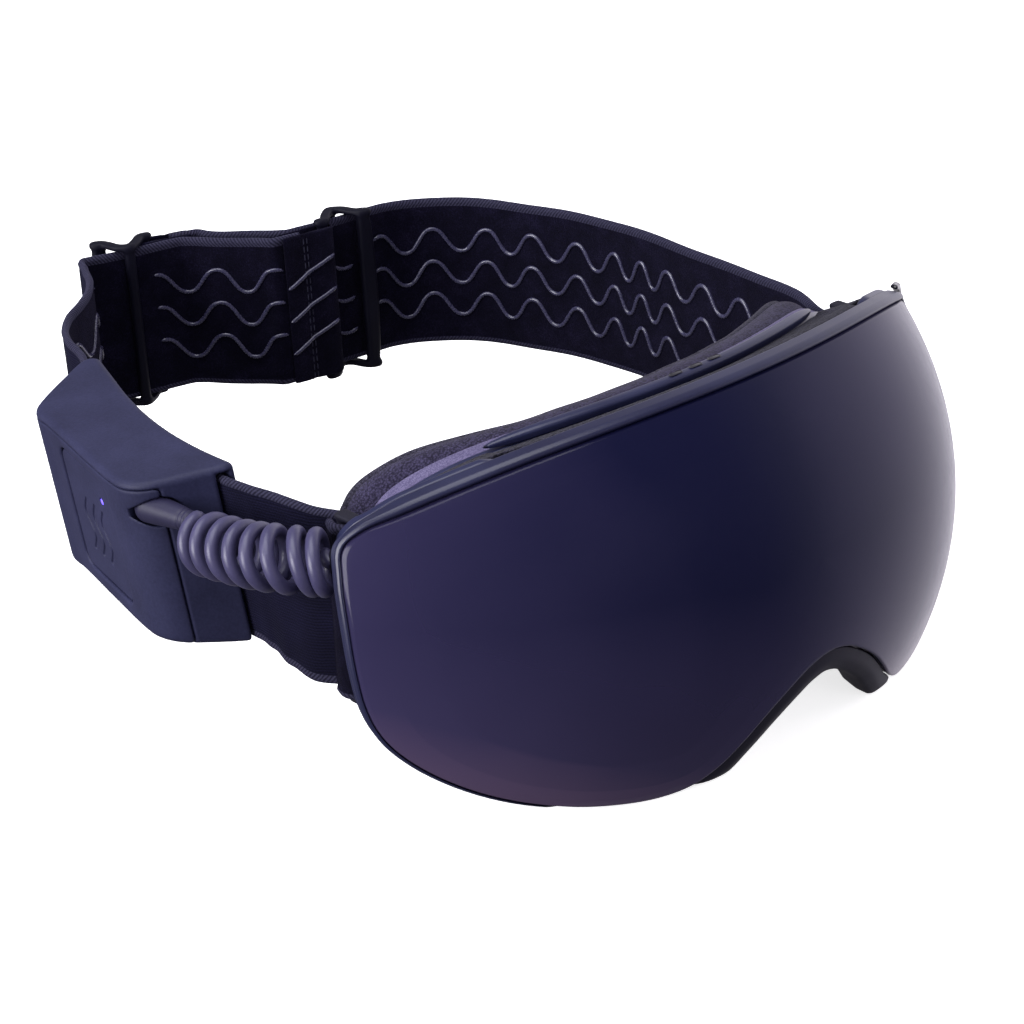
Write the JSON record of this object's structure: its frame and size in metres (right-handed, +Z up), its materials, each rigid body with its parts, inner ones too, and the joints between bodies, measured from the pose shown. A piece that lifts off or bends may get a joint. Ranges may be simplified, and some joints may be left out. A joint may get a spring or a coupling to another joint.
{
  "type": "ski goggles",
  "caption": "Cylindrical double-lens snow goggles with layered face foam, elastic strap with two sliders, and a powered heater pack joined to the frame by a coiled lead.",
  "frame": {"origin": "centre plane of the goggles, on the rear face of the face foam at the brow, half-way up the lens", "axes": "+Z up, -Y the way the wearer looks, +X toward the wearer's left"},
  "size_m": [0.1851, 0.2347, 0.081],
  "materials": {
    "lens_dark": "polished, mirror-smooth polycarbonate with a dark violet tint",
    "lens_inner": "polished, lightly tinted with an anti-fog coat",
    "gasket": "matte closed-cell foam",
    "rim_satin": "satin thermoplastic",
    "frame_satin": "satin thermoplastic urethane",
    "contact_metal": "plated",
    "gloss_black": "glossy",
    "foam_dark": "open-cell foam",
    "foam_lilac": "smooth-skinned foam",
    "fleece": "brushed fleece",
    "vent_foam": "coarse open-cell filter foam",
    "rubber_black": "matte soft-touch",
    "strap_knit": "fine ribbed elastic knit",
    "slider_plastic": "fine-textured moulding",
    "pack_plastic": "fine-textured moulding",
    "led_clear": "clear light pipe",
    "cell_foil": "satin foil pouch",
    "board_green": "solder mask",
    "boot_rubber": "smooth moulded elastomer",
    "cord_sleeve": "satin polyurethane jacket"
  },
  "bodies": {
    "frame": {"face_frame": "frame_satin", "foam_base_layer": "foam_dark", "foam_mid_layer": "foam_lilac", "face_fleece": "fleece", "top_vent_foam": "vent_foam", "bottom_vent_foam_right": "vent_foam", "bottom_vent_foam_left": "vent_foam", "brow_vent_rail": "frame_satin", "nose_trim": "rubber_black", "strap_anchor_left": "frame_satin", "strap_anchor_right": "frame_satin", "cable_gland": "rubber_black", "strap_pack_side": "strap_knit", "strap_far_side": "strap_knit", "pack_inner_shell": "pack_plastic", "pack_outer_shell": "pack_plastic", "battery_cell": "cell_foil", "circuit_board": "board_green", "tact_switch": "gloss_black", "charge_port": "contact_metal", "cable_strain_relief": "boot_rubber", "coiled_cord": "cord_sleeve", "cord_lead_pack": "cord_sleeve"},
    "lens_unit": {"outer_lens": "lens_dark", "inner_lens": "lens_inner", "lens_spacer_gasket": "gasket", "lens_rim": "rim_satin", "lens_heater_contact": "contact_metal", "lens_release_tab": "gloss_black"},
    "button": {"power_button": "pack_plastic", "status_led": "led_clear"},
    "port_cover": {"charge_port_cover": "rubber_black"},
    "far_slider": {"slider_far_side": "slider_plastic", "strap_hem_far_side": "strap_knit"},
    "pack_slider": {"slider_pack_side": "slider_plastic", "strap_hem_pack_side": "strap_knit"}
  },
  "joints": [
    {"name": "lens_pull_off", "type": "slide", "parent": "frame", "child": "lens_unit", "axis": [0, -1, 0], "range_m": [0, 0.03]},
    {"name": "power_button_press", "type": "slide", "parent": "frame", "child": "button", "axis": [0.9706, -0.2122, 0.1132], "range_m": [0, 0.0005], "stiffness_N_per_m": 1200},
    {"name": "port_cover_flap", "type": "hinge", "parent": "frame", "child": "port_cover", "pos_m": [-0.07746, 0.08561, -0.01797], "axis": [0.2136, 0.9769, 0], "range_deg": [0, 100]},
    {"name": "far_slider_slide", "type": "slide", "parent": "frame", "child": "far_slider", "axis": [0.9877, -0.1564, 0], "range_m": [-0.0015, 0.005]},
    {"name": "pack_slider_slide", "type": "slide", "parent": "frame", "child": "pack_slider", "axis": [0.9563, -0.2924, 0], "range_m": [-0.002, 0.0015]}
  ]
}
